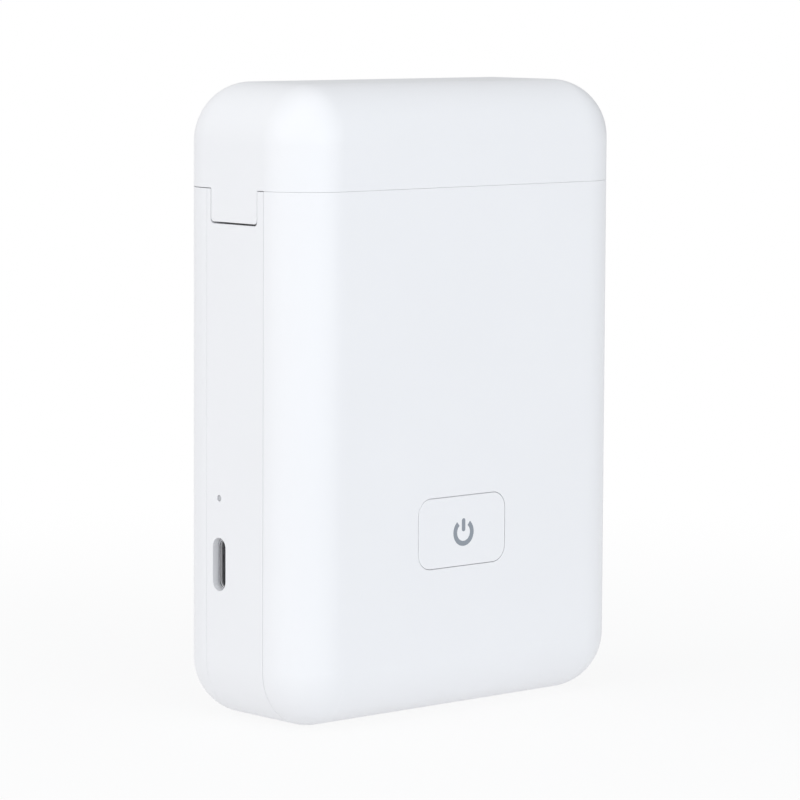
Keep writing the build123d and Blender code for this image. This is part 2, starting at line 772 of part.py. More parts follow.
def make_idler_gear():
    gear = gear_blank(idler_teeth, idler_turn, idler_x, idler_z, inner_gear_y) + gear_hub(idler_x, idler_z)
    return gear - rod(idler_x, idler_z, gear_pin_r + running_clearance, 0, depth)


def make_gear_pins():
    idler_pin = rod(idler_x, idler_z, gear_pin_r, bracket_y[0], inner_gear_y[1])
    cap_y = (outer_gear_y[1] + gear_hub_gap, outer_gear_y[1] + gear_pin_cap)
    reduction_pin = rod(reduction_x, reduction_z, gear_pin_r, bracket_y[0], cap_y[1])
    reduction_pin += rod(reduction_x, reduction_z, gear_pin_r + gear_pin_cap, *cap_y)
    return Compound([idler_pin, reduction_pin])


def make_head_plate():
    y_low, y_high = tape_y_range[0] + head_margin, tape_y_range[1] - head_margin
    profile = flat((head_x[0] - head_plate_lip, head_pivot_x), (head_plate_low_z, head_plate_top_z))
    profile += Pos(head_pivot_x, head_pivot_z) * Circle(head_knuckle_r)
    profile -= Pos(head_pivot_x, head_pivot_z) * Circle(head_pivot_r + running_clearance)
    return across(profile, y_low, y_high)


def make_head_substrate():
    y_low, y_high = tape_y_range[0] + head_margin, tape_y_range[1] - head_margin
    return across(flat(head_x, (head_plate_top_z, head_top_z)), y_low, y_high)


def make_head_spring():
    """A coil drawn as quarter turns, each through three points of the true helix."""
    low = shelf_top_z + spring_wire_r
    rise = (head_plate_low_z - shelf_top_z - 2 * spring_wire_r) / spring_turns

    def on_coil(turn):
        angle = 2 * math.pi * turn
        return (spring_x + spring_r * math.cos(angle), tape_y + spring_r * math.sin(angle), low + rise * turn)

    ends = [k / 4 for k in range(4 * spring_turns)]
    path = Wire([ThreePointArc(on_coil(t), on_coil(t + 0.125), on_coil(t + 0.25)) for t in ends])
    section = Plane(path @ 0, z_dir=path % 0) * Circle(spring_wire_r)
    return sweep(section, path=path)


def make_tear_bar():
    """A thin steel blade whose top edge is a row of teeth, trimmed where the side wall curves in."""
    low_z = outlet_low_z - tear_bar_height
    blade_y = (tape_y_range[0], tape_y_range[1] - tear_bar_end_gap)
    pitch = (blade_y[1] - blade_y[0]) / tear_teeth
    points = [(blade_y[1], low_z), (blade_y[0], low_z)]
    for k in range(tear_teeth):
        points.append((blade_y[0] + k * pitch, outlet_low_z - tear_tooth))
        points.append((blade_y[0] + (k + 0.5) * pitch, outlet_low_z))
    points.append((blade_y[1], outlet_low_z - tear_tooth))
    outline = make_face(Polyline(*points, close=True))
    return sideways(outline, -inside_x, -inside_x + tear_bar_thickness) & case_block(wall)


def make_label_sensor():
    top_z = channel_floor_z + sensor_height
    body = block(sensor_x, (tape_y - sensor_width / 2, tape_y + sensor_width / 2), (channel_floor_z, top_z))
    for x in (sensor_x[0] + sensor_eye_inset, sensor_x[1] - sensor_eye_inset):
        body -= upright(x, tape_y, sensor_eye_r, top_z - sensor_eye_depth, top_z + overrun)
    return body


def make_main_board():
    outline = flat((-board_width / 2, board_width / 2), (board_low_z, board_high_z))
    board = across(outline, board_front_y, board_back_y)
    board = fillet(board.edges().filter_by(Axis.Y), board_corner_r)
    for x, z in board_screws_at():
        board -= rod(x, z, small_screw_r + screw_clearance, board_front_y - overrun, board_back_y + overrun)
    return board


def make_board_chips():
    bodies = []
    for chip_width, rise, chip_height, across_share, up_share in chips:
        x = -board_width / 2 + across_share * (board_width - chip_width)
        z = board_low_z + up_share * (board_high_z - board_low_z - chip_height)
        bodies.append(block((x, x + chip_width), (board_back_y, board_back_y + rise), (z, z + chip_height)))
    return Compound(bodies)


def small_screw(x, z, seat_y, direction, thickness):
    """A small screw that holds a piece of some thickness to its boss."""
    reach = thickness + small_reach - small_tip_gap
    return screw_along_y(x, z, seat_y, direction, small_screw_r, small_head_r, small_head, reach)


def make_board_screws():
    return Compound([small_screw(x, z, board_back_y, -1, board_thickness) for x, z in board_screws_at()])


def make_tact_switch():
    front_y = board_front_y - tact_height
    body = across(Pos(button_x, button_z) * Rectangle(tact_side, tact_side), front_y, board_front_y)
    body = fillet(body.edges().filter_by(Axis.Y), tact_corner_r)
    well_y_range = (front_y - overrun, front_y + tact_well_depth)
    return body - rod(button_x, button_z, tact_plunger_r + running_clearance, *well_y_range)


def make_tact_plunger():
    return rod(
        button_x, button_z, tact_plunger_r, button_flange_back_y, button_flange_back_y + tact_plunger_length
    )


def make_power_button():
    outline = RectangleRounded(button_width, button_height, button_corner_r)
    cap = across(Pos(button_x, button_z) * outline, -half_d, button_back_y)
    cap = fillet(cap.faces().sort_by(Axis.Y)[0].edges(), button_edge_r)
    flange = RectangleRounded(
        button_width + 2 * button_flange, button_height + 2 * button_flange, button_corner_r + button_flange
    )
    return cap + across(Pos(button_x, button_z) * flange, button_back_y, button_flange_back_y)


def make_usb_board():
    board = across(flat(usb_board_x, usb_board_z), usb_face_y, usb_face_y + usb_board_thickness)
    for z in usb_post_z:
        board -= rod(usb_post_x, z, small_screw_r + screw_clearance, usb_face_y - overrun, inside_rear_y)
    return board


def make_usb_board_screws():
    return Compound([small_screw(usb_post_x, z, usb_face_y, 1, usb_board_thickness) for z in usb_post_z])


def make_usb_shell():
    mouth_x = -half_w + port_recess
    back_x = mouth_x + port_depth
    shell = sideways(port_profile(port_shell_clearance), mouth_x, back_x)
    inside = port_profile(port_shell_clearance + port_shell_wall)
    return shell - sideways(inside, mouth_x - overrun, back_x - port_shell_wall)


def make_usb_tongue():
    mouth_x = -half_w + port_recess
    outline = RectangleRounded(port_tongue_thickness, port_tongue_height, port_tongue_corner_r)
    tongue_x = (mouth_x + port_tongue_recess, mouth_x + port_depth - port_shell_wall)
    return sideways(Pos(port_y, port_z) * outline, *tongue_x)


def make_status_led():
    led_x = -half_w + light_pipe_recess + light_pipe_length
    half = led_size[1] / 2
    return block((led_x, led_x + led_size[0]), (port_y - half, usb_face_y), (light_z - half, light_z + half))


def make_light_pipe():
    start_x = -half_w + light_pipe_recess
    circle = Pos(port_y, light_z) * Circle(light_hole_r - light_pipe_clearance)
    return sideways(circle, start_x, start_x + light_pipe_length)


def make_battery_cell():
    cell = block(battery_x, (inside_rear_y - battery_thickness, inside_rear_y), battery_z)
    return fillet(cell.edges().filter_by(Axis.Z), battery_corner_r)


def make_hinge_pin():
    return rod(hinge_x, hinge_z, hinge_pin_r, front_seam_y + seam_gap, rear_seam_y - seam_gap)


def make_lid_screws():
    screws = []
    for x, y in lid_screws_at:
        shank = upright(x, y, small_screw_r, lid_frame_low_z, lid_frame_top_z + small_reach - small_tip_gap)
        head = upright(x, y, small_head_r, lid_frame_low_z - small_head, lid_frame_low_z)
        screws.append(shank + head)
    return Compound(screws)


def make_bracket_screws():
    reach = bracket_y[1] - bracket_y[0] + web_thickness
    screws = [
        screw_along_y(bracket_screw_x, z, bracket_y[1], -1, small_screw_r, small_head_r, small_head, reach)
        for z in bracket_screw_z
    ]
    return Compound(screws)


def make_case_screws():
    screws = [
        screw_along_y(
            x,
            z,
            rear_start + case_screw_seat,
            -1,
            case_screw_r,
            case_screw_head_r,
            case_screw_head,
            rear_start + case_screw_seat - front_end + case_screw_reach,
        )
        for x, z, front_end, rear_start in case_screws_at
    ]
    return Compound(screws)


def make_platen_shaft():
    return rod(platen_x, platen_z, platen_shaft_r, cheek_y[0][0], inner_gear_y[1])


def make_platen_rubber():
    tube = Circle(platen_r) - Circle(platen_shaft_r + press_clearance)
    return across(Pos(platen_x, platen_z) * tube, *tape_y_range)


def make_platen_gear():
    gear = gear_blank(platen_teeth, platen_turn, platen_x, platen_z, inner_gear_y)
    return gear - rod(platen_x, platen_z, platen_shaft_r + press_clearance, 0, depth)


def make_platen_bushes():
    ring = Pos(platen_x, platen_z) * (Circle(bush_r) - Circle(platen_shaft_r + running_clearance))
    return Compound([across(ring, y_low, y_high) for y_low, y_high in cheek_y])


def make_roll_spindle():
    spindle = rod(roll_x, roll_z, core_r - core_wall - winding_clearance, tape_y_range[0], tape_y_range[1])
    for y_low, y_high in (
        (tape_y_range[0] - spindle_flange, tape_y_range[0]),
        (tape_y_range[1], tape_y_range[1] + spindle_flange),
    ):
        spindle += rod(roll_x, roll_z, spindle_flange_r, y_low, y_high)
    return spindle + rod(
        roll_x, roll_z, axle_r, well_outer_y[0] + axle_end_clearance, well_outer_y[1] - axle_end_clearance
    )


def make_roll_core():
    tube = Pos(roll_x, roll_z) * Circle(core_r) - Pos(roll_x, roll_z) * Circle(core_r - core_wall)
    return across(tube, tape_y_range[0], tape_y_range[1])


def make_label_roll():
    tube = Pos(roll_x, roll_z) * Circle(roll_r) - Pos(roll_x, roll_z) * Circle(core_r + winding_clearance)
    return across(tube, tape_y_range[0], tape_y_range[1])


def make_label_strip():
    return block((-inside_x + strip_end_gap, roll_x), tape_y_range, (tape_low_z, tape_top_z))


def make_head_pivot_pin():
    return rod(head_pivot_x, head_pivot_z, head_pivot_r, well_outer_y[0], well_outer_y[1])


parts = {
    "front_shell": make_front_shell,
    "middle_frame": make_middle_frame,
    "rear_shell": make_rear_shell,
    "lid_shell": make_lid_shell,
    "lid_frame": make_lid_frame,
    "lid_screws": make_lid_screws,
    "hinge_pin": make_hinge_pin,
    "case_screws": make_case_screws,
    "inner_frame": make_inner_frame,
    "gear_bracket": make_gear_bracket,
    "bracket_screws": make_bracket_screws,
    "gear_pins": make_gear_pins,
    "motor_body": make_motor_body,
    "motor_shaft": make_motor_shaft,
    "motor_pinion": make_motor_pinion,
    "reduction_gear": make_reduction_gear,
    "idler_gear": make_idler_gear,
    "platen_shaft": make_platen_shaft,
    "platen_rubber": make_platen_rubber,
    "platen_gear": make_platen_gear,
    "platen_bushes": make_platen_bushes,
    "roll_spindle": make_roll_spindle,
    "roll_core": make_roll_core,
    "label_roll": make_label_roll,
    "label_strip": make_label_strip,
    "tear_bar": make_tear_bar,
    "label_sensor": make_label_sensor,
    "head_plate": make_head_plate,
    "head_substrate": make_head_substrate,
    "head_pivot_pin": make_head_pivot_pin,
    "head_spring": make_head_spring,
    "power_button": make_power_button,
    "tact_switch": make_tact_switch,
    "tact_plunger": make_tact_plunger,
    "main_board": make_main_board,
    "board_chips": make_board_chips,
    "board_screws": make_board_screws,
    "usb_board": make_usb_board,
    "usb_board_screws": make_usb_board_screws,
    "usb_shell": make_usb_shell,
    "usb_tongue": make_usb_tongue,
    "status_led": make_status_led,
    "light_pipe": make_light_pipe,
    "battery_cell": make_battery_cell,
}

os.makedirs("parts", exist_ok=True)
for name, make in parts.items():
    export_step(make(), f"parts/{name}.step")
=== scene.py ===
import math

import bmesh
import bpy
from mathutils import Matrix, Vector


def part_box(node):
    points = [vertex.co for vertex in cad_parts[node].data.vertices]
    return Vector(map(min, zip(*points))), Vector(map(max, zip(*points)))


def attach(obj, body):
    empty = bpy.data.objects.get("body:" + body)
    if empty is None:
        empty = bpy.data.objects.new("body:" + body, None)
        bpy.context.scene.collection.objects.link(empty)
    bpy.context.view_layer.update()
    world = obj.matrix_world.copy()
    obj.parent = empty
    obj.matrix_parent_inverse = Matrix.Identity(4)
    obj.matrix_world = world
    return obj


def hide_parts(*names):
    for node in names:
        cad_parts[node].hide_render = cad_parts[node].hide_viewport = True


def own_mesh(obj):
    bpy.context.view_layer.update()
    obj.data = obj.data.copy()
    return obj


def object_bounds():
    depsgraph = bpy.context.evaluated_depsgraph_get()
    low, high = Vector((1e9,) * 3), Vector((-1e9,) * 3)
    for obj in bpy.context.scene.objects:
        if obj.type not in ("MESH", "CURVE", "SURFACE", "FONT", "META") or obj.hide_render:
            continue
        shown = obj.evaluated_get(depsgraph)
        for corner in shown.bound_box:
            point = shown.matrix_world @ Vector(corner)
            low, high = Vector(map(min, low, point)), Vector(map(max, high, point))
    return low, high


# A pocket label printer. The inner parts are the CAD nodes, with materials of their own. The case, the
# button, the head spring and the lip of the connector are built here. Shapes are drawn in millimetres.
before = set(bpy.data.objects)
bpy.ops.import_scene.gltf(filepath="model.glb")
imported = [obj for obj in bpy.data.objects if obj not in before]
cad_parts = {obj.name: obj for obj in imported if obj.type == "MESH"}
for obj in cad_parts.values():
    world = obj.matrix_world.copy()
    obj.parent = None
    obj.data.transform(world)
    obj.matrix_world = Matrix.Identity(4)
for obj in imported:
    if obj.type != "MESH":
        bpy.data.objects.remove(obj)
MM = 0.001
cad_low, cad_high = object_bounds()


def node_box(name):
    """The lowest and highest corner of a CAD node, in millimetres."""
    low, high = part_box(name)
    return low / MM, high / MM


def middle(low, high):
    """The middle of a box, as x, y and z."""
    return [(a + b) / 2 for a, b in zip(low, high)]


# Sizes that come from the frame
case_low, case_high = cad_low / MM, cad_high / MM
width, depth, height = case_high - case_low
half_w, half_d = width / 2, depth / 2
ring_low, ring_high = node_box("middle_frame")
hinge_x, _, hinge_z = middle(*node_box("hinge_pin"))
button_low, button_high = node_box("power_button")
button_x, _, button_z = middle(button_low, button_high)
_, light_y, light_z = middle(*node_box("light_pipe"))
port_low, port_high = node_box("usb_shell")
tape_low, tape_high = node_box("label_strip")
spring_low, spring_high = node_box("head_spring")
roll_middle = middle(*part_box("label_roll"))

# Sizes of the case that both scripts name
face_corner_r = 10.5
front_edge_r = 10.0
rear_edge_r = 8.5
wall = 2.0
lid_low_z = 93.74
lid_gap = 0.02
lid_side_gap = 0.12
front_top_z = lid_low_z - lid_gap
side_top_z = lid_low_z - lid_side_gap
seam_gap = 0.04
lip_clearance = 0.1
lip_thickness = 1.0
lip_length = 1.2
lip_root_gap = 0.06
lip_root_short = 0.1
front_seam_y = ring_low.y + lip_length
rear_seam_y = ring_high.y - lip_length
lip_top_z = 91.3
tongue_margin = 0.2
tongue_corner_r = 0.8
tongue_side_gap = 0.1
tongue_root = 2.0
outlet_low_z = 87.6
outlet_height = 0.33
hinge_arm_half = 1.6
hinge_arm_y = (front_seam_y + 3.4, rear_seam_y - 2.8)
hinge_side_gap = 0.2
hinge_notch_low_z = 83.3
hinge_boss_thickness = 2.4
hinge_boss_foot = 1.5
hinge_relief = 0.68
hinge_pin_r = 0.85
arm_top_z = 100.0
port_margin = 0.15
port_rim = (0.28, 0.42)
port_rim_x = (0.32, 0.7)
port_flat = 0.02
light_hole_r = 0.56
button_flange = 1.0
button_corner_r = 2.9
button_gap = 0.07
button_cap_depth = 2.2
screw_wells = ((-28.5, 11.5, 5.05), (28.5, 11.5, 5.05), (-28.5, 50.0, 11.4), (28.5, 54.0, 6.6))
screw_well_r = 2.35
screw_boss_r = 2.8
lid_bosses = ((22.0, -9.5), (22.0, 10.0), (-18.0, 10.0))
lid_boss_r = 2.3
lid_boss_low_z = 96.4

# The spring under the print head
spring_wire_r = 0.2
spring_turns = 5

# How far a cutter reaches past what it cuts, and a length past the whole case
overrun = 1.0
everywhere = 2 * width

# Fineness of the built pieces
corner_steps = 28
edge_steps = 24
round_steps = 16
circle_steps = 48
coil_steps = 36
wire_steps = 12
icon_steps = 60
case_edge_r = 0.06
button_edge_r = 0.14
icon_edge_r = 0.01
wire_edge_r = 0.02
edge_segments = 2
sharp_angle = 40
flat_weight = 90
same_point = 1e-5
no_width = 1e-4

# The power symbol on the button
icon_x_offset = 0.35
icon_z_offset = -0.3
icon_ring_r = 2.0
icon_stroke = 0.9
icon_gap_half = 1.25
icon_bar_width = 0.84
icon_bar = (0.15, 2.5)
icon_bar_flat = 0.005
icon_proud = 0.012
icon_depth = 0.2


def mesh_object(name, vertices, faces):
    """A closed mesh from points in millimetres, with its faces turned outwards."""
    mesh = bpy.data.meshes.new(name)
    mesh.from_pydata(vertices, [], faces)
    shape = bmesh.new()
    shape.from_mesh(mesh)
    bmesh.ops.remove_doubles(shape, verts=shape.verts, dist=same_point)
    bmesh.ops.recalc_face_normals(shape, faces=shape.faces)
    shape.to_mesh(mesh)
    shape.free()
    made = bpy.data.objects.new(name, mesh)
    bpy.context.scene.collection.objects.link(made)
    return made


def loft(name, rings):
    """A closed skin over rings of equal length, with flat ends."""
    count = len(rings[0])
    vertices = [point for ring in rings for point in ring]
    faces = [list(range(count)), list(range((len(rings) - 1) * count, len(rings) * count))]
    for level in range(len(rings) - 1):
        for k in range(count):
            a, b = level * count + k, level * count + (k + 1) % count
            faces.append((a, b, b + count, a + count))
    return mesh_object(name, vertices, faces)


def arc(centre, radius, turns):
    """Points round a centre, one at each turn."""
    return [(centre[0] + radius * math.cos(turn), centre[1] + radius * math.sin(turn)) for turn in turns]


def circle(centre, radius, steps=circle_steps):
    """Points round a circle."""
    return arc(centre, radius, [2 * math.pi * k / steps for k in range(steps)])


def rounded(side, rise, radius, centre=(0.0, 0.0), steps=round_steps):
    """Points round a rectangle with rounded corners."""
    points = []
    for quarter, (u, v) in enumerate(((1, -1), (1, 1), (-1, 1), (-1, -1))):
        corner = (centre[0] + u * (side / 2 - radius), centre[1] + v * (rise / 2 - radius))
        turns = [math.radians(-90 + 90 * (quarter + k / steps)) for k in range(steps + 1)]
        points += arc(corner, radius, turns)
    return points


def along_x(name, outline, low, high):
    """An outline in y and z, made solid between two x values."""
    return loft(name, [[(x, u, v) for u, v in outline] for x in (low, high)])


def along_y(name, outline, low, high):
    """An outline in x and z, made solid between two depths."""
    return loft(name, [[(u, y, v) for u, v in outline] for y in (low, high)])


def along_z(name, outline, low, high):
    """An outline in x and y, made solid between two heights."""
    return loft(name, [[(u, v, z) for u, v in outline] for z in (low, high)])


def block(x_range, y_range, z_range):
    """A cutter with flat sides."""
    (left, right), (front, rear) = x_range, y_range
    outline = [(left, front), (right, front), (right, rear), (left, rear)]
    return along_z("cutter", outline, *z_range)


def slab(y_range, z_range):
    """A cutter as wide as the whole case."""
    return block((-everywhere, everywhere), y_range, z_range)


def coil(name, centre, radius, z_range, turns, wire_r):
    """A round wire wound up a helix."""
    rings = []
    rise = (z_range[1] - z_range[0]) / turns
    around = 2 * math.pi * radius
    section = circle((0, 0), wire_r, wire_steps)
    for k in range(turns * coil_steps + 1):
        turn = 2 * math.pi * k / coil_steps
        outward = Vector((math.cos(turn), math.sin(turn), 0))
        onward = Vector((-outward.y * around, outward.x * around, rise)).normalized()
        upward = outward.cross(onward)
        wire_middle = Vector((*centre, z_range[0] + rise * k / coil_steps)) + outward * radius
        rings.append([tuple(wire_middle + outward * u + upward * v) for u, v in section])
    return loft(name, rings)


def case_form(inset):
    """The whole case, drawn in by an inset, as rings from its front face to its rear face."""
    turns = [math.pi / 2 * k / edge_steps for k in range(edge_steps + 1)]
    front_r, rear_r = front_edge_r - inset, rear_edge_r - inset
    stations = []
    for turn in turns:
        stations.append((-half_d + inset + front_r * (1 - math.cos(turn)), front_r * (1 - math.sin(turn))))
    for turn in reversed(turns):
        stations.append((half_d - inset - rear_r * (1 - math.cos(turn)), rear_r * (1 - math.sin(turn))))
    rings = []
    for y, drawn_in in stations:
        inward = inset + drawn_in
        outline = rounded(
            width - 2 * inward, height - 2 * inward, face_corner_r - inward, (0, height / 2), corner_steps
        )
        rings.append([(x, y, z) for x, z in outline])
    return loft("case_form", rings)


def settle(piece):
    """Makes a piece's modifiers part of its mesh."""
    graph = bpy.context.evaluated_depsgraph_get()
    mesh = bpy.data.meshes.new_from_object(piece.evaluated_get(graph))
    piece.modifiers.clear()
    piece.data = mesh


def combine(piece, tool, operation):
    """Joins, cuts or keeps the part of a piece inside another mesh, which is then gone."""
    modifier = piece.modifiers.new("combine", "BOOLEAN")
    modifier.operation = operation
    modifier.solver = "EXACT"
    modifier.object = tool
    settle(piece)
    bpy.data.objects.remove(tool)
    return piece


def cut(piece, tool):
    """Takes another mesh away from a piece."""
    return combine(piece, tool, "DIFFERENCE")


def join(piece, tool):
    """Makes another mesh part of a piece."""
    return combine(piece, tool, "UNION")


def keep(piece, tool):
    """Leaves what a piece has inside another mesh."""
    return combine(piece, tool, "INTERSECT")


def skin(inset, thickness):
    """A hollow skin that follows the case."""
    return cut(case_form(inset), case_form(inset + thickness))


def close_slits(piece):
    """Clears the faces with no area and fills the hair-thin slits that cuts and rounded edges leave."""
    shape = bmesh.new()
    shape.from_mesh(piece.data)
    bmesh.ops.dissolve_degenerate(shape, dist=no_width, edges=shape.edges)
    open_edges = [edge for edge in shape.edges if edge.is_boundary]
    bmesh.ops.holes_fill(shape, edges=open_edges, sides=0)
    bmesh.ops.recalc_face_normals(shape, faces=shape.faces)
    shape.to_mesh(piece.data)
    shape.free()


def side_relief():
    """The wedge off the top outer edge of the right wall, where the lid swings past."""
    outline = [
        (half_w - hinge_relief, front_top_z),
        (half_w + overrun, front_top_z + overrun + hinge_relief),
        (half_w + overrun, front_top_z - overrun - hinge_relief),
        (half_w, front_top_z - hinge_relief),
    ]
    return along_y("cutter", outline, -depth, depth)


def outlet_outline(side_gap, low_z):
    """The tongue of the lid over the outlet, or the notch for it, in y and z."""
    top_z = lid_low_z + tongue_root
    side = tape_high.y - tape_low.y + 2 * (tongue_margin + side_gap)
    centre = ((tape_low.y + tape_high.y) / 2, (low_z + top_z) / 2)
    return rounded(side, top_z - low_z, tongue_corner_r, centre)


def port_outline(inset):
    """The mouth of the charging connector in y and z, drawn in by an inset."""
    side, rise = port_high.y - port_low.y - 2 * inset, port_high.z - port_low.z - 2 * inset
    return rounded(side, rise, side / 2 - port_flat, middle(port_low, port_high)[1:])


def button_outline(margin):
    """The button in x and z, grown by a margin."""
    side = button_high.x - button_low.x - 2 * (button_flange - margin)
    rise = button_high.z - button_low.z - 2 * (button_flange - margin)
    return rounded(side, rise, button_corner_r + margin, (button_x, button_z))


def finish_piece(piece, name, body, edge_r, material, slot, *nodes):
    """Rounds the sharp edges, evens the shading, gives the material and the body, and scales to metres."""
    piece.name = name
    piece.data.name = name
    bevel = piece.modifiers.new("edges", "BEVEL")
    bevel.width = edge_r
    bevel.segments = edge_segments
    bevel.limit_method = "ANGLE"
    bevel.angle_limit = math.radians(sharp_angle)
    bevel.miter_outer = "MITER_ARC"
    settle(piece)
    close_slits(piece)
    for face in piece.data.polygons:
        face.use_smooth = True
    evened = piece.modifiers.new("normals", "WEIGHTED_NORMAL")
    evened.mode = "FACE_AREA_WITH_ANGLE"
    evened.weight = flat_weight
    settle(piece)
    piece.data.transform(Matrix.Scale(MM, 4))
    piece.data.materials.clear()
    piece.data.materials.append(material)
    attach(piece, body)
    if nodes:
        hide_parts(*nodes)
    return piece


# Materials
coarse_detail = 3.0
fine_detail = 4.0
bump_distance = 0.0002
shade_range = (0.3, 0.7)
gloss_spread = 0.04
pattern_edge = 0.35


def feed(tree, socket, source):
    """Links a socket to an output, or sets it to a plain number."""
    if isinstance(source, bpy.types.NodeSocket):
        tree.links.new(source, socket)
    else:
        socket.default_value = source


def maths(tree, operation, *sources):
    """What a maths node makes of outputs or numbers."""
    node = tree.nodes.new("ShaderNodeMath")
    node.operation = operation
    for socket, source in zip(node.inputs, sources):
        feed(tree, socket, source)
    return node.outputs["Value"]


def ranged(tree, value, from_range, to_range, interpolation="LINEAR"):
    """A value carried over from one range to another."""
    node = tree.nodes.new("ShaderNodeMapRange")
    node.interpolation_type = interpolation
    tree.links.new(value, node.inputs["Value"])
    levels = (*from_range, *to_range)
    for key, level in zip(("From Min", "From Max", "To Min", "To Max"), levels):
        node.inputs[key].default_value = level
    return node.outputs["Result"]


def noise(tree, place, scale, detail):
    """Noise over the object's own coordinates."""
    node = tree.nodes.new("ShaderNodeTexNoise")
    node.inputs["Scale"].default_value = scale
    node.inputs["Detail"].default_value = detail
    tree.links.new(place.outputs["Object"], node.inputs["Vector"])
    return node.outputs["Fac"]


def grained(
    name, colour, roughness, metallic=0.0, grain=900.0, bump=0.03, shade=0.04, specular=0.5, sheen_scale=40.0
):
    """A surface with fine grain: a small bump, and a slow change of shade and gloss."""
    material = bpy.data.materials.new(name)
    material.use_nodes = True
    tree = material.node_tree
    shader = tree.nodes["Principled BSDF"]
    shader.inputs["Metallic"].default_value = metallic
    shader.inputs["Specular IOR Level"].default_value = specular
    place = tree.nodes.new("ShaderNodeTexCoord")
    fine = noise(tree, place, grain, fine_detail)
    slow = noise(tree, place, sheen_scale, coarse_detail)
    height_node = tree.nodes.new("ShaderNodeBump")
    height_node.inputs["Strength"].default_value = bump
    height_node.inputs["Distance"].default_value = bump_distance
    tint = tree.nodes.new("ShaderNodeValToRGB")
    for element, position, level in zip(tint.color_ramp.elements, shade_range, (1 - shade, 1)):
        element.position = position
        element.color = (*[c * level for c in colour], 1)
    gloss = ranged(tree, slow, (0, 1), (roughness - gloss_spread, roughness + gloss_spread))
    tree.links.new(fine, height_node.inputs["Height"])
    tree.links.new(height_node.outputs["Normal"], shader.inputs["Normal"])
    tree.links.new(slow, tint.inputs["Fac"])
    tree.links.new(tint.outputs["Color"], shader.inputs["Base Color"])
    tree.links.new(gloss, shader.inputs["Roughness"])
    return material


def patterned(material, texture, dark, settings):
    """Darkens a grained material along the lines of a texture."""
    nodes, links = material.node_tree.nodes, material.node_tree.links
    shader = nodes["Principled BSDF"]
    place = next(n for n in nodes if n.type == "TEX_COORD")
    tint = shader.inputs["Base Color"].links[0].from_node
    shift = nodes.new("ShaderNodeMapping")
    pattern = nodes.new(texture)
    for key, value in settings.items():
        if key == "origin":
            shift.inputs["Location"].default_value = value
        elif key in pattern.inputs:
            pattern.inputs[key].default_value = value
        else:
            setattr(pattern, key, value)
    ramp = nodes.new("ShaderNodeValToRGB")
    ramp.color_ramp.elements[0].color = (*dark, 1)
    ramp.color_ramp.elements[1].color = (1, 1, 1, 1)
    ramp.color_ramp.elements[1].position = pattern_edge
    mix = nodes.new("ShaderNodeMix")
    mix.data_type = "RGBA"
    mix.blend_type = "MULTIPLY"
    mix.inputs["Factor"].default_value = 1.0
    links.new(place.outputs["Object"], shift.inputs["Vector"])
    links.new(shift.outputs["Vector"], pattern.inputs["Vector"])
    links.new(pattern.outputs[0], ramp.inputs["Fac"])
    links.new(tint.outputs["Color"], mix.inputs["A"])
    links.new(ramp.outputs["Color"], mix.inputs["B"])
    links.new(mix.outputs["Result"], shader.inputs["Base Color"])
    return material


case_white = (0.835, 0.84, 0.86)
case_plastic = grained("case_plastic", case_white, 0.42, grain=1400, bump=0.02, shade=0.012, specular=0.45)
button_plastic = grained("button_plastic", case_white, 0.38, grain=1400, bump=0.02, shade=0.01, specular=0.45)
icon_grey = grained("icon_grey", (0.27, 0.30, 0.34), 0.5, grain=2000, bump=0.01, shade=0.05)
frame_plastic = grained("frame_plastic", (0.6, 0.61, 0.62), 0.5, grain=1200, bump=0.08, shade=0.1)
inner_white = grained("inner_white", (0.74, 0.75, 0.77), 0.5, grain=1200, bump=0.05, shade=0.03)
gear_plastic = grained("gear_plastic", (0.78, 0.76, 0.68), 0.38, grain=1500, bump=0.03, shade=0.06)
spindle_plastic = grained("spindle_plastic", (0.32, 0.36, 0.42), 0.45, grain=1200, bump=0.05)
steel = grained("steel", (0.62, 0.62, 0.63), 0.28, metallic=1.0, grain=2500, bump=0.03, shade=0.1)
screw_steel = grained("screw_steel", (0.5, 0.5, 0.52), 0.34, metallic=1.0, grain=2500, bump=0.05, shade=0.15)
spring_steel = grained("spring_steel", (0.55, 0.56, 0.58), 0.3, metallic=1.0, grain=3000, bump=0.03)
motor_can = grained("motor_can", (0.6, 0.6, 0.58), 0.32, metallic=1.0, grain=1800, bump=0.04, shade=0.12)
brass = grained("brass", (0.72, 0.52, 0.24), 0.3, metallic=1.0, grain=2500, bump=0.03, shade=0.12)
aluminium = grained("aluminium", (0.7, 0.71, 0.72), 0.4, metallic=1.0, grain=3000, bump=0.08, shade=0.06)
connector_steel = grained("connector_steel", (0.74, 0.74, 0.76), 0.28, metallic=0.85, grain=3000, bump=0.03)
lip_steel = grained("lip_steel", (0.62, 0.62, 0.63), 0.3, metallic=0.5, grain=3000, bump=0.03)
roller_rubber = grained("roller_rubber", (0.035, 0.035, 0.038), 0.72, grain=3500, bump=0.25, shade=0.2)
head_ceramic = grained("head_ceramic", (0.5, 0.44, 0.36), 0.25, grain=2500, bump=0.02, shade=0.08)
chip_plastic = grained("chip_plastic", (0.02, 0.02, 0.022), 0.55, grain=4000, bump=0.12, shade=0.2)
led_plastic = grained("led_plastic", (0.8, 0.76, 0.5), 0.35, grain=2500, bump=0.02)
light_guide = grained("light_guide", (0.5, 0.51, 0.53), 0.2, grain=3000, bump=0.01, shade=0.02)
battery_wrap = grained(
    "battery_wrap", (0.48, 0.55, 0.62), 0.33, metallic=0.3, grain=350, bump=0.2, shade=0.08
)
cardboard = patterned(
    grained("cardboard", (0.46, 0.33, 0.2), 0.85, grain=700, bump=0.3, shade=0.18),
    "ShaderNodeTexWave",
    (0.75, 0.72, 0.68),
    {"wave_type": "BANDS", "bands_direction": "Y", "Scale": 260.0, "Distortion": 3.0},
)
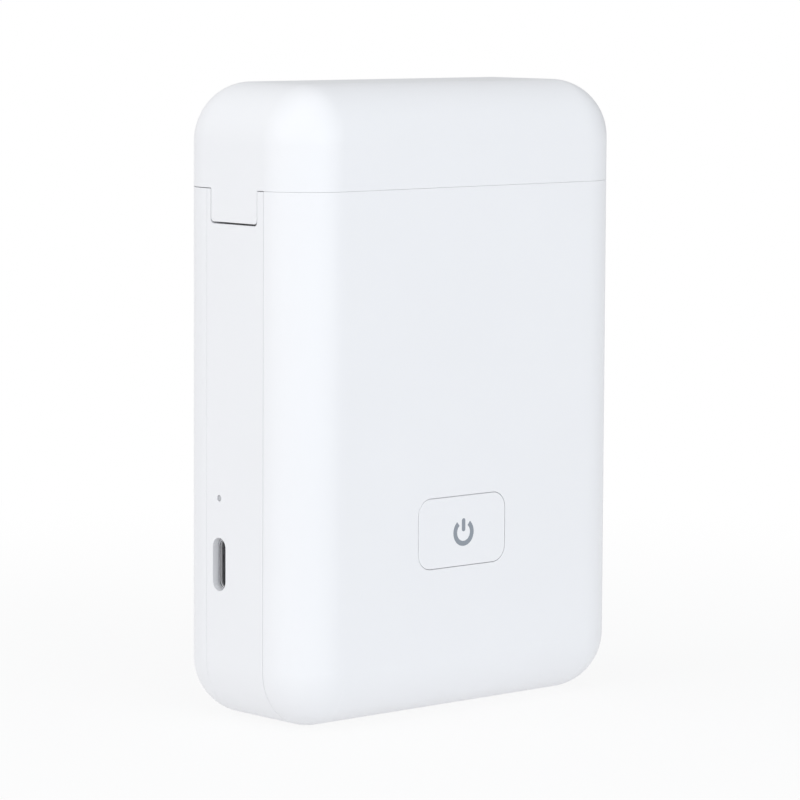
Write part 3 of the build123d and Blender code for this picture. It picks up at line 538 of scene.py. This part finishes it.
label_paper = patterned(
    grained("label_paper", (0.83, 0.83, 0.81), 0.6, grain=1600, bump=0.12, shade=0.03),
    "ShaderNodeTexWave",
    (0.82, 0.81, 0.79),
    {
        "wave_type": "RINGS",
        "rings_direction": "Y",
        "Scale": 900.0,
        "Distortion": 0.4,
        "origin": [-value for value in roll_middle],
    },
)
strip_paper = grained("strip_paper", (0.84, 0.84, 0.82), 0.55, grain=1600, bump=0.1, shade=0.03)
circuit_board = patterned(
    grained("circuit_board", (0.03, 0.16, 0.07), 0.36, grain=2200, bump=0.08, shade=0.25),
    "ShaderNodeTexVoronoi",
    (0.45, 0.62, 0.45),
    {"feature": "DISTANCE_TO_EDGE", "Scale": 420.0, "distance": "MANHATTAN"},
)

node_materials = {
    "lid_frame": inner_white,
    "lid_screws": screw_steel,
    "hinge_pin": steel,
    "case_screws": screw_steel,
    "inner_frame": frame_plastic,
    "gear_bracket": steel,
    "bracket_screws": screw_steel,
    "gear_pins": steel,
    "motor_body": motor_can,
    "motor_shaft": steel,
    "motor_pinion": brass,
    "reduction_gear": gear_plastic,
    "idler_gear": gear_plastic,
    "platen_shaft": steel,
    "platen_rubber": roller_rubber,
    "platen_gear": gear_plastic,
    "platen_bushes": brass,
    "roll_spindle": spindle_plastic,
    "roll_core": cardboard,
    "label_roll": label_paper,
    "label_strip": strip_paper,
    "tear_bar": steel,
    "label_sensor": chip_plastic,
    "head_plate": aluminium,
    "head_substrate": head_ceramic,
    "head_pivot_pin": steel,
    "tact_switch": chip_plastic,
    "tact_plunger": chip_plastic,
    "main_board": circuit_board,
    "board_chips": chip_plastic,
    "board_screws": screw_steel,
    "usb_board": circuit_board,
    "usb_board_screws": screw_steel,
    "usb_shell": connector_steel,
    "usb_tongue": connector_steel,
    "status_led": led_plastic,
    "light_pipe": light_guide,
    "battery_cell": battery_wrap,
}
for node_name, node_material in node_materials.items():
    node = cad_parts[node_name]
    if not node.material_slots:
        node.data.materials.append(node_material)
    for material_slot in node.material_slots:
        material_slot.material = node_material

# The front shell, with the opening for the button
front_shell = keep(skin(0, wall), slab((-everywhere, front_seam_y - seam_gap / 2), (-overrun, front_top_z)))
cut(front_shell, along_y("cutter", button_outline(button_gap), -depth, -half_d + wall + overrun))
cut(front_shell, side_relief())
finish_piece(front_shell, "front_cover", "housing", case_edge_r, case_plastic, "case_plastic", "front_shell")

# The rear shell, with the wells for its screws
rear_shell = keep(skin(0, wall), slab((rear_seam_y + seam_gap / 2, everywhere), (-overrun, side_top_z)))
for x, z, seat_y in screw_wells:
    inner_form = case_form(wall / 2)
    join(rear_shell, keep(along_y("boss", circle((x, z), screw_boss_r), seat_y, depth), inner_form))
for x, z, seat_y in screw_wells:
    cut(rear_shell, along_y("cutter", circle((x, z), screw_well_r), seat_y - overrun, depth))
cut(rear_shell, side_relief())
finish_piece(rear_shell, "rear_cover", "housing", case_edge_r, case_plastic, "case_plastic", "rear_shell")

# The middle frame, with its lips, the boss of the hinge, the outlet, the port and the hole for the light
ring_y = (front_seam_y + seam_gap / 2, rear_seam_y - seam_gap / 2)
middle_frame = keep(skin(0, wall), slab(ring_y, (-overrun, side_top_z)))
for seam_y, inward in ((front_seam_y, 1), (rear_seam_y, -1)):
    lip_y = sorted((seam_y - inward * lip_length, seam_y + inward * lip_length))
    lip = skin(wall + lip_clearance, lip_thickness)
    join(middle_frame, keep(lip, slab(lip_y, (-overrun, lip_top_z))))
    root_y = sorted((seam_y + inward * lip_root_gap, seam_y + inward * (lip_length - lip_root_short)))
    root = skin(wall / 2, wall / 2 + lip_clearance + lip_thickness / 2)
    join(middle_frame, keep(root, slab(root_y, (-overrun, lip_top_z - lip_root_short))))
notch_y = (hinge_arm_y[0] - hinge_side_gap, hinge_arm_y[1] + hinge_side_gap)
boss_x = (hinge_x - hinge_boss_thickness, half_w - wall / 2)
join(middle_frame, block(boss_x, ring_y, (hinge_notch_low_z - hinge_boss_foot, lip_top_z)))
cut(middle_frame, block((boss_x[0] - overrun, half_w + overrun), notch_y, (hinge_notch_low_z, height)))
pin_outline = circle((hinge_x, hinge_z), hinge_pin_r)
cut(middle_frame, along_y("cutter", pin_outline, front_seam_y - overrun, rear_seam_y + overrun))
outlet = outlet_outline(tongue_side_gap, outlet_low_z)
cut(middle_frame, along_x("cutter", outlet, -half_w - overrun, -half_w + 2 * wall))
for outline in (port_outline(-port_margin), circle((light_y, light_z), light_hole_r)):
    cut(middle_frame, along_x("cutter", outline, -half_w - overrun, -half_w + wall + 2 * overrun))
cut(middle_frame, side_relief())
finish_piece(middle_frame, "side_frame", "housing", case_edge_r, case_plastic, "case_plastic", "middle_frame")

# The lid, with its tongue, its hinge arm and the bosses for its screws
lid_shell = keep(skin(0, wall), slab((-everywhere, everywhere), (lid_low_z, height + overrun)))
join(lid_shell, along_x("tongue", outlet_outline(0, outlet_low_z + outlet_height), -half_w, -half_w + wall))
arm_outline = [(half_w, arm_top_z), (hinge_x - hinge_arm_half, arm_top_z)]
arm_turns = [math.radians(180 + 90 * k / round_steps) for k in range(2 * round_steps + 1)]
arm_outline += arc((hinge_x, hinge_z), hinge_arm_half, arm_turns)
join(lid_shell, along_y("arm", arm_outline, *hinge_arm_y))
cut(lid_shell, along_y("cutter", pin_outline, hinge_arm_y[0] - overrun, hinge_arm_y[1] + overrun))
for x, y in lid_bosses:
    inner_form = case_form(wall / 2)
    join(lid_shell, keep(along_z("boss", circle((x, y), lid_boss_r), lid_boss_low_z, height), inner_form))
finish_piece(lid_shell, "lid_cover", "lid", case_edge_r, case_plastic, "case_plastic", "lid_shell")

# The button and its symbol
button_step_y = -half_d + button_cap_depth
button = along_y("button", button_outline(0), -half_d, button_step_y)
join(button, along_y("flange", button_outline(button_flange), button_step_y, button_high.y))
finish_piece(button, "button_cap", "button", button_edge_r, button_plastic, "button_plastic", "power_button")

icon_centre = (button_x + icon_x_offset, button_z + icon_z_offset)
icon_y = (-half_d - icon_proud, -half_d + icon_depth)
gap_turn = math.asin(icon_gap_half / icon_ring_r)
arc_turn = 2 * math.pi - 2 * gap_turn
sweep = [math.pi / 2 + gap_turn + arc_turn * k / icon_steps for k in range(icon_steps + 1)]
ring_outline = arc(icon_centre, icon_ring_r + icon_stroke / 2, sweep)
ring_outline += arc(icon_centre, icon_ring_r - icon_stroke / 2, reversed(sweep))
icon_ring = along_y("icon_ring", ring_outline, *icon_y)
finish_piece(icon_ring, "power_ring", "button", icon_edge_r, icon_grey, "button_plastic")
bar_centre = (icon_centre[0], icon_centre[1] + sum(icon_bar) / 2)
bar_outline = rounded(
    icon_bar_width, icon_bar[1] - icon_bar[0], icon_bar_width / 2 - icon_bar_flat, bar_centre
)
icon_line = along_y("icon_line", bar_outline, *icon_y)
finish_piece(icon_line, "power_line", "button", icon_edge_r, icon_grey, "button_plastic")

# The spring under the print head, built as a coil of wire
spring_r = (spring_high.x - spring_low.x) / 2 - spring_wire_r
spring_z = (spring_low.z + spring_wire_r, spring_high.z - spring_wire_r)
spring_centre = middle(spring_low, spring_high)[:2]
head_coil = coil("head_coil", spring_centre, spring_r, spring_z, spring_turns, spring_wire_r)
finish_piece(head_coil, "head_coil", "housing", wire_edge_r, spring_steel, "spring_steel", "head_spring")
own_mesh(head_coil)

# The rolled lip inside the mouth of the charging connector
rim_x = (port_low.x + port_rim_x[0], port_low.x + port_rim_x[1])
connector_lip = along_x("connector_lip", port_outline(port_rim[0]), *rim_x)
cut(connector_lip, along_x("cutter", port_outline(port_rim[1]), rim_x[0] - overrun, rim_x[1] + overrun))
finish_piece(connector_lip, "connector_lip", "housing", wire_edge_r, lip_steel, "connector_steel")

# Floor: white to the camera, with the soft shadow of the printer near it
floor_radius = 3.0
floor_steps = 96
floor_colour = (0.86, 0.86, 0.87, 1)
floor_bounce = 0.45
shadow_reach = (0.04, 0.28)
shadow_share = (0.86, 1.0)
white = (1, 1, 1, 1)
rim = circle((0, 0), floor_radius, floor_steps)
floor = mesh_object("floor", [(x, y, 0) for x, y in rim], [list(range(floor_steps))])
floor_material = bpy.data.materials.new("floor")
floor_material.use_nodes = True
tree = floor_material.node_tree
tree.nodes.clear()
output = tree.nodes.new("ShaderNodeOutputMaterial")
blend = tree.nodes.new("ShaderNodeMixShader")
paint = tree.nodes.new("ShaderNodeBsdfDiffuse")
paint.inputs["Color"].default_value = floor_colour
glow = tree.nodes.new("ShaderNodeEmission")
glow.inputs["Color"].default_value = white
glow.inputs["Strength"].default_value = 1.0
path = tree.nodes.new("ShaderNodeLightPath")
position = tree.nodes.new("ShaderNodeNewGeometry")
reach = tree.nodes.new("ShaderNodeVectorMath")
reach.operation = "LENGTH"
tree.links.new(position.outputs["Position"], reach.inputs[0])
fade = ranged(tree, reach.outputs["Value"], shadow_reach, shadow_share, "SMOOTHSTEP")
seen = maths(tree, "MAXIMUM", path.outputs["Is Camera Ray"], path.outputs["Is Glossy Ray"])
share = maths(tree, "MULTIPLY", fade, seen)
bounce = maths(tree, "MULTIPLY", path.outputs["Is Diffuse Ray"], floor_bounce)
whole = maths(tree, "MAXIMUM", share, bounce)
tree.links.new(whole, blend.inputs["Fac"])
tree.links.new(paint.outputs["BSDF"], blend.inputs[1])
tree.links.new(glow.outputs["Emission"], blend.inputs[2])
tree.links.new(blend.outputs["Shader"], output.inputs["Surface"])
floor.data.materials.append(floor_material)

# World: plain light all round, dimmer on the right, white where the camera sees it
ambient = 0.67
ambient_colour = (0.96, 0.98, 1.0, 1)
dim_side = (0.98, 0.17, 0)
dim_start = 0.1
dim_level = 0.3
world = bpy.data.worlds.new("studio")
bpy.context.scene.world = world
world.use_nodes = True
tree = world.node_tree
background = tree.nodes["Background"]
path = tree.nodes.new("ShaderNodeLightPath")
seen = maths(tree, "MAXIMUM", path.outputs["Is Camera Ray"], path.outputs["Is Glossy Ray"])
level = ranged(tree, seen, (0, 1), (ambient, 1.0))
tint = tree.nodes.new("ShaderNodeMix")
tint.data_type = "RGBA"
tint.inputs["A"].default_value = ambient_colour
tint.inputs["B"].default_value = white
toward = tree.nodes.new("ShaderNodeTexCoord")
facing = tree.nodes.new("ShaderNodeVectorMath")
facing.operation = "DOT_PRODUCT"
facing.inputs[1].default_value = dim_side
tree.links.new(toward.outputs["Generated"], facing.inputs[0])
dimming = ranged(tree, facing.outputs["Value"], (dim_start, 1.0), (1.0, dim_level))
kept = maths(tree, "MAXIMUM", dimming, path.outputs["Is Camera Ray"])
strength = maths(tree, "MULTIPLY", level, kept)
tree.links.new(strength, background.inputs["Strength"])
tree.links.new(seen, tint.inputs["Factor"])
tree.links.new(tint.outputs["Result"], background.inputs["Color"])

# Camera at the photograph's viewing angle. The image is 800 x 800.
image_px = 800
focal_px = 3957.9
sensor = 36.0
view_azimuth = math.radians(-41.928)
view_pitch = math.radians(5.242)
view_roll = math.radians(0.284)
view_distance = 712.67
view_side = -0.878
view_rise = 10.036
view_shift = -0.08
clip_range = (0.01, 50.0)
back = Vector((
    math.sin(view_azimuth) * math.cos(view_pitch),
    -math.cos(view_azimuth) * math.cos(view_pitch),
    math.sin(view_pitch),
))
right = Vector((math.cos(view_azimuth), math.sin(view_azimuth), 0))
up = back.cross(right)
rolled_right = math.cos(view_roll) * right + math.sin(view_roll) * up
rolled_up = math.cos(view_roll) * up - math.sin(view_roll) * right
aim = Vector((0, 0, height / 2)) + rolled_right * view_side + rolled_up * view_rise
camera_data = bpy.data.cameras.new("camera")
camera_data.sensor_width = sensor
camera_data.lens = focal_px / image_px * sensor
camera_data.shift_y = view_shift
camera_data.clip_start, camera_data.clip_end = clip_range
camera = bpy.data.objects.new("camera", camera_data)
bpy.context.scene.collection.objects.link(camera)
turn_matrix = Matrix((rolled_right, rolled_up, back)).transposed().to_4x4()
camera.matrix_world = Matrix.Translation((aim + back * view_distance) * MM) @ turn_matrix
bpy.context.scene.camera = camera


def softbox(name, azimuth, elevation, distance, size, power, colour):
    """A square lamp aimed at the middle of the printer. Azimuth 0 stands in front of the button."""
    a, e = math.radians(azimuth), math.radians(elevation)
    direction = Vector((math.sin(a) * math.cos(e), -math.cos(a) * math.cos(e), math.sin(e)))
    data = bpy.data.lights.new(name, "AREA")
    data.shape = "SQUARE"
    data.size = size
    data.energy = power
    data.color = colour
    lamp = bpy.data.objects.new(name, data)
    lamp.location = Vector((0, 0, height / 2 * MM)) + direction * distance
    lamp.rotation_mode = "QUATERNION"
    lamp.rotation_quaternion = direction.to_track_quat("Z", "Y")
    bpy.context.scene.collection.objects.link(lamp)


softbox("key", -100, 20, 1.1, 0.9, 3.3, (1.0, 0.99, 0.98))
softbox("fill", -8, 8, 1.0, 0.8, 4.35, (0.92, 0.96, 1.0))
softbox("top", -20, 80, 1.0, 0.8, 1.8, (1.0, 1.0, 1.0))

bpy.context.scene.view_settings.view_transform = "Standard"
